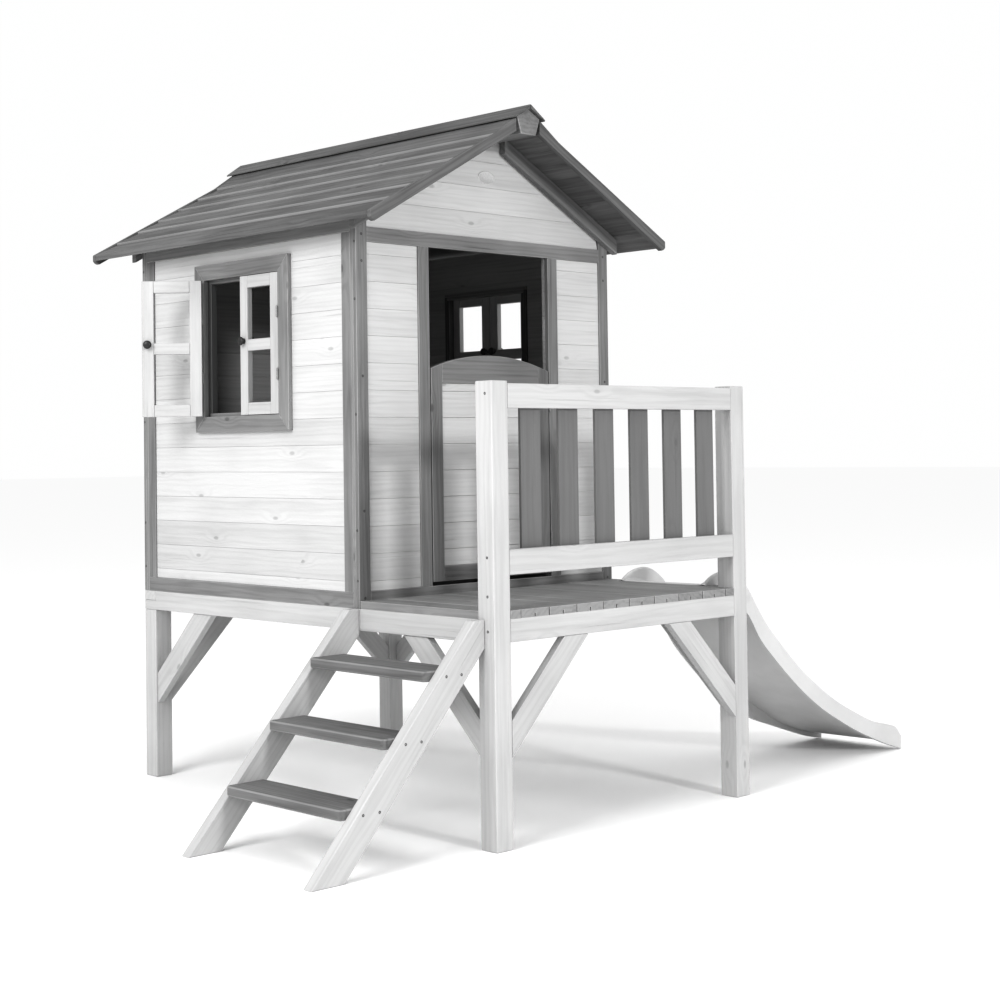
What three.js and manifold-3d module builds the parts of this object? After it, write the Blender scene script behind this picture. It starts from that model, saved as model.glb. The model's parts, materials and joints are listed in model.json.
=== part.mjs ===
// A children's wooden playhouse on legs, with a railed deck, a ladder and a plastic slide.
// Millimetres, +Z up. Inside the model x = 0 is the middle of the house, y = 0 is the front face
// of the two front posts and z = 0 is the ground; the last lines move the whole group so that its
// origin is the middle of the bottom of its bounding box.

import * as THREE from "three";
import { mergeVertices } from "three/addons/utils/BufferGeometryUtils.js";
import Module from "manifold-3d";

const wasm = await Module();
wasm.setup();

// ---- driving dimensions -------------------------------------------------------------------
const WIDTH = 975; // house, deck and leg frame, left to right
const DEPTH = 1484; // front post face to back leg face
const HOUSE_FRONT = 492; // y of the house's front wall
const POST = 56; // square posts, legs and beams
const POST_TOP = 1120; // top of the two front posts
const BEAM_TOP = 549; // the house and the deck stand on this level
const DECK_THICK = 20;
const WALL = 24; // thickness of a wall panel
const FRAME_THICK = 13; // the grey frame strips lie on the outer side of the boards
const RECESS = 4; // how far the boards lie behind the frame strips
const FIT = 0.3; // clearance between pieces that were cut to fit each other

const BOARD_PITCH = 71; // wall boards
const BOARD_FIRST_JOINT = 617; // z of the lowest joint between wall boards
const GROOVE = 3; // width and depth of the groove at a board joint

const STILE = 38; // corner posts of the front and back frames
const SIDE_STILE = 36;
const SILL_TOP = 592; // top of the front and back bottom rails
const SIDE_SILL_TOP = 589;
const HEADER_BOTTOM = 1501;
const HEADER_TOP = 1540;
const PLATE_BOTTOM = 1527; // top rail of a side wall
const PLATE_TOP = 1576;
const DOORWAY_HALF = 231;
const DOOR_POST = 39;

const ROOF_PITCH = 0.5407; // rise over run, 28.4 degrees
const ROOF_PEAK = 1866; // z where the two roof surfaces would meet
const ROOF_STACK = 18; // roof boards, measured straight down
const EAVE = 570; // x of the eave
const ROOF_FRONT = 336;
const ROOF_BACK = 1628;
const ROOF_BOARDS = 7;
const ROOF_LAP = 7; // step from one roof board to the next
const BATTEN = 20;
const BARGE_DROP = 18; // how far the end battens reach below the boards
const RAFTER_DROP = 44;
const RIDGE_FRONT = 325;
const RIDGE_BACK = 1645;
const RIDGE_PEAK = 1879;
const RIDGE_HALF = 44;
const RIDGE_FOOT_HALF = 28;
const RIDGE_BOTTOM = 1809;
const CAP_HALF = 56;
const CAP_STACK = 12.5;

const WINDOW_Y = 984; // centre of each side window
const WINDOW_Z = 1253;
const WINDOW_W = 345; // clear opening
const WINDOW_H = 390;
const CASING = 44;
const CASING_PROUD = 14;
const LINING = 10;
const STOP = 10;

const LEAF_W = 170.5; // one shutter
const LEAF_H = 387;
const LEAF_THICK = 18;
const LEAF_STILE = 34;
const LEAF_MID_RAIL = 32;
const PIVOT_PROUD = 3; // hinge axis in front of the shutter's outer face
const PIVOT_GAP = 1;
const SHUTTER_OPEN = 132; // degrees; how far the rear left shutter stands open
const KNOB_RADIUS = 12;
const KNOB_RISE = 12;
const KNOB_NECK = 5;
const KNOB_SPINDLE = 3;
const KNOB_LENGTH = 17; // from the shutter's face to the end of the knob

const DOOR_HALF = 227.5;
const DOOR_BOTTOM = 602;
const DOOR_SHOULDER = 1176;
const DOOR_PEAK = 1215;
const DOOR_RAIL_BOTTOM = 1136;
const DOOR_THICK = 20;
const DOOR_STILE = 41;

const BRACE_REACH = 187; // post face to the upper edge of the brace, along the beam
const BRACE_WIDTH = 62;
const BRACE_THICK = 22;
const BRACE_INSET = 5; // how far the braces under the side beams lie behind the beams' faces

const RAIL_THICK = 17;
const RAIL_TOP = [1054, 1114];
const RAIL_BOTTOM = [654, 715];
const SLAT = 70;
const SLAT_PITCH = 135;
const SLATS = 6;
const SLAT_THICK = 8;
const SLAT_LAP = 52; // how far a slat reaches behind each rail

const LADDER_RISE = 1.0913; // rise over run, 47.5 degrees
const LADDER_FOOT = 1025; // foot tip, left of the middle of the house
const STRINGER_RUN = 96; // stringer width measured level
const STRINGER_THICK = 30;
const STRINGER_Y = [32, 494]; // front face of each stringer
const TREADS = 3;
const TREAD_TOP = 156;
const TREAD_PITCH = 141.5;
const TREAD_NOSE = 916;
const TREAD_DEPTH = 116;
const TREAD_THICK = 25;
const TREAD_ROUND = 14;

const SLIDE_Y = [106, 418];
const SLIDE_END = 1402;
const SLIDE_WALL = 14;
const SLIDE_BED = 5;

// ---- materials ----------------------------------------------------------------------------
const paint = (color, roughness) => new THREE.MeshStandardMaterial({ color, roughness, metalness: 0 });
const WHITE = paint(0xf2f2f0, 0.7);
const GREY = paint(0x6f7072, 0.75);
const PLASTIC = paint(0xf4f4f4, 0.35);
const DARK = paint(0x2c2a29, 0.4);

// ---- geometry helpers ---------------------------------------------------------------------
const box = (x0, x1, y0, y1, z0, z1) =>
  new THREE.BoxGeometry(x1 - x0, y1 - y0, z1 - z0).translate((x0 + x1) / 2, (y0 + y1) / 2, (z0 + z1) / 2);

const outline = (points) => new THREE.Shape(points.map(([a, b]) => new THREE.Vector2(a, b)));

// Corners in counter-clockwise order, whichever way round a0 and a1 are given.
function rectangle(a0, a1, b0, b1) {
  const [left, right] = [Math.min(a0, a1), Math.max(a0, a1)];
  return [[left, b0], [right, b0], [right, b1], [left, b1]];
}

function pierced(points, holes) {
  const shape = outline(points);
  shape.holes = holes.map((hole) => new THREE.Path(hole.map(([a, b]) => new THREE.Vector2(a, b))));
  return shape;
}

const extrude = (shape, depth, curveSegments = 12) =>
  new THREE.ExtrudeGeometry(shape, { depth, bevelEnabled: false, curveSegments });

// A shape drawn in x and z, given thickness along y.
const alongY = (shape, y0, y1) => extrude(shape, y1 - y0).rotateX(Math.PI / 2).translate(0, y1, 0);

// A shape drawn in y and z, given thickness along x.
function alongX(shape, x0, x1) {
  const axes = new THREE.Matrix4().makeBasis(
    new THREE.Vector3(0, 1, 0), new THREE.Vector3(0, 0, 1), new THREE.Vector3(1, 0, 0));
  return extrude(shape, x1 - x0).applyMatrix4(axes).translate(x0, 0, 0);
}

// A shape drawn in x and y, given thickness along z.
const alongZ = (shape, z0, z1) => extrude(shape, z1 - z0).translate(0, 0, z0);

function solid(geometry) {
  const bare = geometry.clone();
  bare.deleteAttribute("normal");
  bare.deleteAttribute("uv");
  const welded = mergeVertices(bare, 1e-4);
  return new wasm.Manifold(new wasm.Mesh({
    numProp: 3,
    vertProperties: new Float32Array(welded.attributes.position.array),
    triVerts: new Uint32Array(welded.index.array),
  }));
}

function geometryOf(manifold) {
  const mesh = manifold.getMesh();
  const geometry = new THREE.BufferGeometry();
  geometry.setAttribute("position", new THREE.BufferAttribute(mesh.vertProperties, 3));
  geometry.setIndex(new THREE.BufferAttribute(mesh.triVerts, 1));
  geometry.computeVertexNormals();
  return geometry;
}

const joined = (...pieces) => geometryOf(pieces.map(solid).reduce((sum, piece) => sum.add(piece)));

const cut = (piece, ...cutters) =>
  geometryOf(cutters.map(solid).reduce((left, cutter) => left.subtract(cutter), solid(piece)));

// A left-hand piece seen in the mirror plane x = 0, with its faces turned outwards again.
function mirrored(geometry) {
  const copy = geometry.index ? geometry.toNonIndexed() : geometry.clone();
  copy.scale(-1, 1, 1);
  const at = copy.attributes.position;
  for (let i = 0; i < at.count; i += 3) {
    const [x, y, z] = [at.getX(i), at.getY(i), at.getZ(i)];
    at.setXYZ(i, at.getX(i + 1), at.getY(i + 1), at.getZ(i + 1));
    at.setXYZ(i + 1, x, y, z);
  }
  copy.computeVertexNormals();
  return copy;
}

const playhouse = new THREE.Group();

function add(name, geometry, material, parent = playhouse) {
  const mesh = new THREE.Mesh(geometry, material);
  mesh.name = name;
  parent.add(mesh);
  return mesh;
}

// One piece on each side of the house; the right one is the left one mirrored.
function addPair(before, after, leftGeometry, material) {
  add(`${before}left${after}`, leftGeometry, material);
  add(`${before}right${after}`, mirrored(leftGeometry), material);
}

const HALF = WIDTH / 2;
const INNER = HALF - POST; // inner face of the posts and beams
const BEAM_BOTTOM = BEAM_TOP - POST;
const DECK_TOP = BEAM_TOP + DECK_THICK;
const FRONT_INNER = HOUSE_FRONT + WALL;
const BACK_INNER = DEPTH - WALL;
const roofTop = (x) => ROOF_PEAK - ROOF_PITCH * Math.abs(x);
const roofUnder = (x) => roofTop(x) - ROOF_STACK;

// ---- leg frame ----------------------------------------------------------------------------
function addLegs() {
  addPair("post_front_", "", box(-HALF, -INNER, 0, POST, 0, POST_TOP), WHITE);
  addPair("leg_back_", "", box(-HALF, -INNER, DEPTH - POST, DEPTH, 0, BEAM_BOTTOM), WHITE);
}

// The back corners are half-lapped: the back beam's end lies over the side beam's end.
function addBeams() {
  const lapZ = BEAM_TOP - POST / 2;
  const houseBeam = joined(
    box(-HALF, -INNER, HOUSE_FRONT, DEPTH - POST, BEAM_BOTTOM, BEAM_TOP),
    box(-HALF, -INNER, DEPTH - POST, DEPTH, BEAM_BOTTOM, lapZ));
  const backBeam = joined(
    box(-INNER, INNER, DEPTH - POST, DEPTH, BEAM_BOTTOM, BEAM_TOP),
    box(-HALF, HALF, DEPTH - POST, DEPTH, lapZ, BEAM_TOP));
  addPair("beam_", "_house", houseBeam, WHITE);
  addPair("beam_", "_deck", box(-HALF, -INNER, POST, HOUSE_FRONT, BEAM_BOTTOM, BEAM_TOP), WHITE);
  add("beam_front", box(-INNER, INNER, 0, POST, BEAM_BOTTOM, BEAM_TOP), WHITE);
  add("beam_middle",
    box(-INNER, INNER, HOUSE_FRONT - POST / 2, HOUSE_FRONT + POST / 2, BEAM_BOTTOM, BEAM_TOP), WHITE);
  add("beam_back", backBeam, WHITE);
}

// A brace leans at 45 degrees from a post up to the beam over it.
function braceOutline(start, direction) {
  const outer = BRACE_REACH + BRACE_WIDTH * Math.SQRT2;
  const points = [
    [FIT, BEAM_BOTTOM - BRACE_REACH],
    [FIT, BEAM_BOTTOM - outer],
    [outer, BEAM_BOTTOM - FIT],
    [BRACE_REACH, BEAM_BOTTOM - FIT],
  ];
  return outline(points.map(([s, z]) => [start + direction * s, z]));
}

function addBraces() {
  const corners = [
    { place: "front", post: POST, toward: 1, acrossY: 0 },
    { place: "back", post: DEPTH - POST, toward: -1, acrossY: DEPTH - POST + BRACE_INSET },
  ];
  const sideX = -HALF + BRACE_INSET;
  for (const { place, post, toward, acrossY } of corners) {
    const across = alongY(braceOutline(-INNER, 1), acrossY, acrossY + BRACE_THICK);
    const along = alongX(braceOutline(post, toward), sideX, sideX + BRACE_THICK);
    addPair(`brace_${place}_`, "_across", across, WHITE);
    addPair(`brace_${place}_`, "_along", along, WHITE);
  }
}

// ---- deck and floor -----------------------------------------------------------------------
// Tongue-and-groove boards seen from their ends: a slot above and below each joint and a shallow
// one under the middle of each board.
function boardedOutline(x0, x1, pitch) {
  const slot = 1.2;
  const deep = 6;
  const top = [];
  const bottom = [];
  for (let x = 0; x < x1 - slot; x += pitch) {
    for (const joint of x === 0 ? [0] : [-x, x]) {
      top.push([joint - slot, 0], [joint - slot, -deep], [joint + slot, -deep], [joint + slot, 0]);
    }
  }
  for (let x = -Math.floor(-x0 / (pitch / 2)) * (pitch / 2); x < x1 - slot; x += pitch / 2) {
    bottom.push([x - slot, 0], [x - slot, deep], [x + slot, deep], [x + slot, 0]);
  }
  const byX = (a, b) => b[0] - a[0];
  top.sort(byX);
  const upper = top.map(([x, z]) => [x, DECK_TOP + z]);
  const lower = bottom.map(([x, z]) => [x, BEAM_TOP + z]);
  return outline([[x0, BEAM_TOP], ...lower, [x1, BEAM_TOP], [x1, DECK_TOP], ...upper, [x0, DECK_TOP]]);
}

function addFloors() {
  const pitch = 99;
  const deck = alongY(boardedOutline(-HALF, HALF, pitch), 0, HOUSE_FRONT - FIT);
  const notch = (x0, x1) => box(x0, x1, -1, POST + FIT, BEAM_TOP - 1, DECK_TOP + 1);
  const notched = cut(deck, notch(-HALF - 1, -INNER + FIT), notch(INNER - FIT, HALF + 1));
  add("deck_boards", notched, GREY);
  const inside = HALF - WALL - FIT;
  add("house_floor",
    alongY(boardedOutline(-inside, inside, pitch), FRONT_INNER + FIT, BACK_INNER - FIT), GREY);
}

// ---- walls --------------------------------------------------------------------------------
const FIELD_START = RECESS; // depths behind the outer face of a wall
const FIELD_END = FRAME_THICK;

function jointLevels(z0, z1) {
  const levels = [];
  for (let z = BOARD_FIRST_JOINT; z < z1 - GROOVE; z += BOARD_PITCH) {
    if (z > z0 + GROOVE) levels.push(z);
  }
  return levels;
}

// The outline of a gable wall, up to a line that runs parallel to the roof.
function gableOutline(half, bottom, below) {
  const shoulder = roofUnder(half) - below;
  return [[-half, bottom], [half, bottom], [half, shoulder], [0, roofUnder(0) - below], [-half, shoulder]];
}

// y of a plane that lies a given depth behind the outer face of the front or the back wall.
const gableWallY = (front, depth) => (front ? HOUSE_FRONT + depth : DEPTH - depth);

function slab(shape, front, near, far) {
  const [a, b] = [gableWallY(front, near), gableWallY(front, far)];
  return alongY(shape, Math.min(a, b), Math.max(a, b));
}

// The ridge beam passes through the top of both gables.
function ridgeClearance() {
  const half = RIDGE_HALF + 1;
  return box(-half, half, 0, RIDGE_BACK, RIDGE_BOTTOM - 1, RIDGE_PEAK);
}

function addGableWall(name, front) {
  const doorway = rectangle(-DOORWAY_HALF, DOORWAY_HALF, SILL_TOP, HEADER_BOTTOM);
  const postOuter = DOORWAY_HALF + DOOR_POST;
  const sides = [rectangle(-HALF + STILE, -postOuter, SILL_TOP, HEADER_BOTTOM),
    rectangle(postOuter, HALF - STILE, SILL_TOP, HEADER_BOTTOM)];
  const wide = [rectangle(-HALF + STILE, HALF - STILE, SILL_TOP, HEADER_BOTTOM)];
  const fields = front ? sides : wide;
  const topLeft = roofUnder(HALF) - 1;
  const topInner = roofUnder(HALF - STILE) - 1;
  const border = [[-HALF, BEAM_TOP], [HALF, BEAM_TOP], [HALF, topLeft], [HALF - STILE, topInner],
    [HALF - STILE, HEADER_TOP], [-HALF + STILE, HEADER_TOP], [-HALF + STILE, topInner], [-HALF, topLeft]];
  const holes = (front ? [doorway, ...fields] : fields)
    .map((hole) => slab(outline(hole), front, -1, FRAME_THICK + 1));
  add(`${name}_frame`, cut(slab(outline(border), front, 0, FRAME_THICK), ...holes), GREY);

  const backing = pierced(gableOutline(HALF, BEAM_TOP, 1), front ? [doorway] : []);
  const pieces = [slab(backing, front, FRAME_THICK + FIT, WALL)];
  for (const [[x0, z0], , [x1, z1]] of fields) {
    const field = outline(rectangle(x0 + FIT, x1 - FIT, z0 + FIT, z1 - FIT));
    pieces.push(slab(field, front, FIELD_START, FRAME_THICK + 1));
  }
  const gableHalf = HALF - STILE - FIT;
  const gable = gableOutline(gableHalf, HEADER_TOP + FIT, 1);
  pieces.push(slab(outline(gable), front, FIELD_START, FRAME_THICK + 1));
  const reach = HALF + 1;
  const grooves = jointLevels(SILL_TOP, roofUnder(0)).filter((z) => z < HEADER_BOTTOM || z > HEADER_TOP)
    .map((z) => {
      const [a, b] = [gableWallY(front, -1), gableWallY(front, FIELD_START + GROOVE)];
      return box(-reach, reach, Math.min(a, b), Math.max(a, b), z - GROOVE / 2, z + GROOVE / 2);
    });
  add(`${name}_boards`, cut(joined(...pieces), ridgeClearance(), ...grooves), WHITE);
}

function windowRing(outerW, outerH, innerW, innerH, x0, x1) {
  const ring = (w, h) => rectangle(WINDOW_Y - w / 2, WINDOW_Y + w / 2, WINDOW_Z - h / 2, WINDOW_Z + h / 2);
  return alongX(pierced(ring(outerW, outerH), [ring(innerW, innerH)]), x0, x1);
}

function addSideWalls() {
  const field = rectangle(FRONT_INNER + SIDE_STILE, BACK_INNER - SIDE_STILE, SIDE_SILL_TOP, PLATE_BOTTOM);
  const border = rectangle(FRONT_INNER + FIT, BACK_INNER - FIT, BEAM_TOP, PLATE_TOP);
  addPair("wall_", "_frame", alongX(pierced(border, [field]), -HALF, -HALF + FRAME_THICK), GREY);

  const [[y0, z0], , [y1, z1]] = field;
  const face = outline(rectangle(y0 + FIT, y1 - FIT, z0 + FIT, z1 - FIT));
  const opening = box(-HALF - 1, -HALF + WALL + 1,
    WINDOW_Y - WINDOW_W / 2 - LINING - FIT, WINDOW_Y + WINDOW_W / 2 + LINING + FIT,
    WINDOW_Z - WINDOW_H / 2 - LINING - FIT, WINDOW_Z + WINDOW_H / 2 + LINING + FIT);
  const grooves = jointLevels(z0, z1).map((z) =>
    box(-HALF - 1, -HALF + FIELD_START + GROOVE, y0, y1, z - GROOVE / 2, z + GROOVE / 2));
  const boards = cut(
    joined(
      alongX(outline(border), -HALF + FRAME_THICK + FIT, -HALF + WALL),
      alongX(face, -HALF + FIELD_START, -HALF + FRAME_THICK + 1)),
    opening, ...grooves);
  addPair("wall_", "_boards", boards, WHITE);
}

// Casing outside, lining through the wall and a stop that the closed shutters rest against.
function addWindowFrames() {
  const outerX = -HALF + FIELD_START;
  const insideX = -HALF + WALL + 6;
  const linedW = WINDOW_W + 2 * LINING;
  const linedH = WINDOW_H + 2 * LINING;
  const stopX = outerX - CASING_PROUD + LEAF_THICK + 2;
  const frame = joined(
    windowRing(WINDOW_W + 2 * CASING, WINDOW_H + 2 * CASING, WINDOW_W, WINDOW_H,
      outerX - CASING_PROUD, outerX - FIT),
    windowRing(linedW, linedH, WINDOW_W, WINDOW_H, outerX - 1, insideX),
    windowRing(linedW, linedH, WINDOW_W - 2 * STOP, WINDOW_H - 2 * STOP, stopX, insideX));
  addPair("window_frame_", "", frame, GREY);
}

// ---- shutters -----------------------------------------------------------------------------
// Drawn with the hinge axis at x = y = 0 and the window's mid height at z = 0. The outer face
// looks towards -x, and `side` is the direction in y in which the leaf reaches from its hinge.
function shutterLeaf(side) {
  const near = side * PIVOT_GAP;
  const far = side * (PIVOT_GAP + LEAF_W);
  const paneH = (LEAF_H - 2 * LEAF_STILE - LEAF_MID_RAIL) / 2;
  const pane = (z0) => rectangle(near + side * LEAF_STILE, far - side * LEAF_STILE, z0, z0 + paneH);
  const panes = [pane(-LEAF_H / 2 + LEAF_STILE), pane(LEAF_MID_RAIL / 2)];
  const face = pierced(rectangle(near, far, -LEAF_H / 2, LEAF_H / 2), panes);
  const leaf = alongX(face, PIVOT_PROUD, PIVOT_PROUD + LEAF_THICK);
  const bore = new THREE.CylinderGeometry(KNOB_SPINDLE + FIT, KNOB_SPINDLE + FIT, 3 * LEAF_THICK, 16)
    .rotateZ(Math.PI / 2).translate(LEAF_THICK / 2, knobY(side), KNOB_RISE);
  return cut(leaf, bore);
}

const knobY = (side) => side * (PIVOT_GAP + LEAF_W - LEAF_STILE / 2);

// A turned knob on each face of the shutter, on one spindle.
function shutterKnob(side) {
  const grip = 0.4;
  const head = [
    [KNOB_NECK * 1.5, LEAF_THICK / 2 + grip],
    [KNOB_NECK, LEAF_THICK / 2 + 4],
    [KNOB_RADIUS * 0.9, LEAF_THICK / 2 + 7],
    [KNOB_RADIUS, LEAF_THICK / 2 + 11],
    [KNOB_RADIUS * 0.75, LEAF_THICK / 2 + KNOB_LENGTH - 1.5],
    [0, LEAF_THICK / 2 + KNOB_LENGTH],
  ];
  const profile = [
    [0, -LEAF_THICK / 2 - KNOB_LENGTH],
    ...head.slice(0, -1).reverse().map(([r, h]) => [r, -h]),
    [KNOB_SPINDLE, -LEAF_THICK / 2 - grip],
    [KNOB_SPINDLE, LEAF_THICK / 2 + grip],
    ...head,
  ];
  return new THREE.LatheGeometry(profile.map(([r, h]) => new THREE.Vector2(r, h)), 20)
    .rotateZ(-Math.PI / 2).translate(PIVOT_PROUD + LEAF_THICK / 2, knobY(side), KNOB_RISE);
}

function addShutters() {
  const pivotX = HALF - FIELD_START + CASING_PROUD + PIVOT_PROUD;
  const windows = [
    { wall: "left", turn: 0, open: { rear: SHUTTER_OPEN, front: 0 } },
    { wall: "right", turn: Math.PI, open: { rear: 0, front: 0 } },
  ];
  for (const { wall, turn, open } of windows) {
    for (const place of ["rear", "front"]) {
      const end = place === "rear" ? 1 : -1;
      const side = -end * Math.cos(turn); // in the leaf's own frame, before the turn
      const hinge = new THREE.Group();
      hinge.position.set(-Math.cos(turn) * pivotX, WINDOW_Y + end * WINDOW_W / 2, WINDOW_Z);
      hinge.rotation.z = turn + side * THREE.MathUtils.degToRad(open[place]);
      playhouse.add(hinge);
      add(`shutter_${wall}_${place}`, shutterLeaf(side), WHITE, hinge);
      add(`knob_${wall}_${place}`, shutterKnob(side), DARK, hinge);
    }
  }
}

// ---- half door ----------------------------------------------------------------------------
// An arc through both shoulders and the peak gives the top edge of the door.
function doorArch(half) {
  const rise = DOOR_PEAK - DOOR_SHOULDER;
  const radius = (DOOR_HALF ** 2 + rise ** 2) / (2 * rise);
  const steps = 16;
  const points = [];
  for (let i = 0; i <= steps; i += 1) {
    const x = half - (2 * half * i) / steps;
    points.push([x, DOOR_PEAK - radius + Math.sqrt(radius ** 2 - x ** 2)]);
  }
  return points;
}

function addDoor() {
  const inner = DOOR_HALF - DOOR_STILE;
  const railTop = DOOR_BOTTOM + DOOR_STILE;
  const edge = [[-DOOR_HALF, DOOR_BOTTOM], [DOOR_HALF, DOOR_BOTTOM], ...doorArch(DOOR_HALF)];
  const panel = rectangle(-inner, inner, railTop, DOOR_RAIL_BOTTOM);
  const front = HOUSE_FRONT;
  add("door_frame", alongY(pierced(edge, [panel]), front, front + DOOR_THICK), GREY);

  const lip = 3;
  const boards = alongY(outline(rectangle(-inner + FIT, inner - FIT, railTop + FIT, DOOR_RAIL_BOTTOM - FIT)),
    front + lip, front + DOOR_THICK - lip);
  const grooves = jointLevels(railTop, DOOR_RAIL_BOTTOM).map((z) =>
    box(-inner, inner, front, front + lip + GROOVE, z - GROOVE / 2, z + GROOVE / 2));
  add("door_boards", cut(boards, ...grooves), WHITE);
}

// ---- roof ---------------------------------------------------------------------------------
// Lapped boards: each one thickens towards its lower edge and covers the next one's upper edge.
function lappedOutline() {
  const start = RIDGE_HALF + 1;
  const run = (EAVE - start) / ROOF_BOARDS;
  const points = [[-start, roofUnder(start)]];
  for (let i = 0; i < ROOF_BOARDS; i += 1) {
    const upper = start + i * run;
    points.push([-upper, roofTop(upper) - ROOF_LAP], [-upper - run, roofTop(upper + run)]);
  }
  points.push([-EAVE, roofUnder(EAVE)]);
  return outline(points);
}

function battenOutline(from, to, drop) {
  return outline([
    [-from, roofUnder(from) + 1], [-to, roofUnder(to) + 1],
    [-to, roofUnder(to) - drop], [-from, roofUnder(from) - drop],
  ]);
}

function addRoof() {
  const start = RIDGE_HALF + 1;
  const pieces = [alongY(lappedOutline(), ROOF_FRONT, ROOF_BACK)];
  const middle = (FRONT_INNER + BACK_INNER) / 2;
  for (const y of [ROOF_FRONT, ROOF_BACK - BATTEN]) {
    pieces.push(alongY(battenOutline(start, EAVE - 8, BARGE_DROP), y, y + BATTEN));
  }
  const rafterEnd = HALF - WALL - 2;
  for (const y of [FRONT_INNER + FIT, middle - BATTEN / 2, BACK_INNER - BATTEN - FIT]) {
    pieces.push(alongY(battenOutline(start, rafterEnd, RAFTER_DROP / 2), y, y + BATTEN));
  }
  for (const y of [HOUSE_FRONT - BATTEN - FIT, DEPTH + FIT]) {
    pieces.push(alongY(battenOutline(start, EAVE - 60, RAFTER_DROP), y, y + BATTEN));
  }
  addPair("roof_", "", joined(...pieces), GREY);
}

function addRidge() {
  const beam = outline([
    [0, RIDGE_PEAK], [-RIDGE_HALF, RIDGE_PEAK - ROOF_PITCH * RIDGE_HALF], [-RIDGE_FOOT_HALF, RIDGE_BOTTOM],
    [RIDGE_FOOT_HALF, RIDGE_BOTTOM], [RIDGE_HALF, RIDGE_PEAK - ROOF_PITCH * RIDGE_HALF],
  ]);
  add("ridge_beam", alongY(beam, RIDGE_FRONT, RIDGE_BACK), GREY);
  const under = (x) => RIDGE_PEAK + FIT - ROOF_PITCH * Math.abs(x);
  const over = (x) => under(x) + CAP_STACK - FIT;
  const cap = outline([
    [0, under(0)], [-CAP_HALF, under(CAP_HALF)], [-CAP_HALF, over(CAP_HALF)],
    [0, over(0)], [CAP_HALF, over(CAP_HALF)], [CAP_HALF, under(CAP_HALF)],
  ]);
  add("ridge_cap", alongY(cap, RIDGE_FRONT, RIDGE_BACK), GREY);
}

// ---- railing ------------------------------------------------------------------------------
function addRailing() {
  add("rail_top", box(-INNER, INNER, 0, RAIL_THICK, ...RAIL_TOP), WHITE);
  add("rail_bottom", box(-INNER, INNER, 0, RAIL_THICK, ...RAIL_BOTTOM), WHITE);
  const z0 = RAIL_BOTTOM[1] - SLAT_LAP;
  const z1 = RAIL_TOP[0] + SLAT_LAP;
  for (let i = 0; i < SLATS; i += 1) {
    const x = (i - (SLATS - 1) / 2) * SLAT_PITCH - SLAT / 2;
    add(`railing_slat_${i + 1}`, box(x, x + SLAT, RAIL_THICK, RAIL_THICK + SLAT_THICK, z0, z1), GREY);
  }
}

// ---- ladder -------------------------------------------------------------------------------
// A stringer stands flat on the ground, ends plumb against the side beam and is level on top.
function stringerOutline() {
  const beamX = -HALF - FIT;
  const lower = -LADDER_FOOT + STRINGER_RUN;
  return outline([
    [-LADDER_FOOT, 0], [lower, 0], [beamX, LADDER_RISE * (beamX - lower)], [beamX, BEAM_TOP],
    [-LADDER_FOOT + BEAM_TOP / LADDER_RISE, BEAM_TOP],
  ]);
}

// A tread seen from above, with its two nose corners rounded.
function treadOutline(nose, y0, y1) {
  const shape = new THREE.Shape();
  shape.moveTo(nose + TREAD_DEPTH, y0);
  shape.lineTo(nose + TREAD_DEPTH, y1);
  shape.lineTo(nose + TREAD_ROUND, y1);
  shape.quadraticCurveTo(nose, y1, nose, y1 - TREAD_ROUND);
  shape.lineTo(nose, y0 + TREAD_ROUND);
  shape.quadraticCurveTo(nose, y0, nose + TREAD_ROUND, y0);
  return shape;
}

function addLadder() {
  ["front", "rear"].forEach((place, i) => {
    const y = STRINGER_Y[i];
    add(`ladder_stringer_${place}`, alongY(stringerOutline(), y, y + STRINGER_THICK), WHITE);
  });
  const between = [STRINGER_Y[0] + STRINGER_THICK + FIT, STRINGER_Y[1] - FIT];
  for (let i = 0; i < TREADS; i += 1) {
    const nose = -TREAD_NOSE + (i * TREAD_PITCH) / LADDER_RISE;
    const top = TREAD_TOP + i * TREAD_PITCH;
    add(`ladder_tread_${i + 1}`, alongZ(treadOutline(nose, ...between), top - TREAD_THICK, top), GREY);
  }
}

// ---- slide --------------------------------------------------------------------------------
// Side view of the slide in x and z: the rim and the lower edge of its two walls, and its bed.
const curve = (points, steps) =>
  new THREE.SplineCurve(points.map(([x, z]) => new THREE.Vector2(x, z))).getPoints(steps)
    .map(({ x, y }) => [x, y]);

const RIM = [[435, DECK_TOP + 2], [467, 592], [502, 603], [543, 605], [583, 592], [630, 556], [683, 486],
  [738, 424], [869, 309], [966, 242], [1066, 184], [1169, 137], [1253, 104], [1329, 86], [1375, 73],
  [SLIDE_END - 4, 46]];
const NEAR_FOOT = [[HALF + 2, 545], [560, 528], [633, 473], [690, 397], [777, 318], [867, 246], [964, 181],
  [1064, 128], [1167, 81], [1272, 41], [1340, 18], [SLIDE_END - 6, 0]];
const FAR_FOOT = [[HALF + 2, 530], [555, 505], [617, 442], [672, 368], [757, 288], [846, 216], [940, 151],
  [1037, 104], [1139, 71], [1243, 39], [1330, 14], [SLIDE_END - 6, 0]];
const BED = [[435, DECK_TOP + 6], [510, DECK_TOP + 6], [556, 560], [600, 524], [640, 480], [697, 401], [784, 321],
  [873, 249], [969, 186], [1067, 134], [1169, 88], [1272, 50], [1340, 34], [SLIDE_END - 12, 27]];

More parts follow.
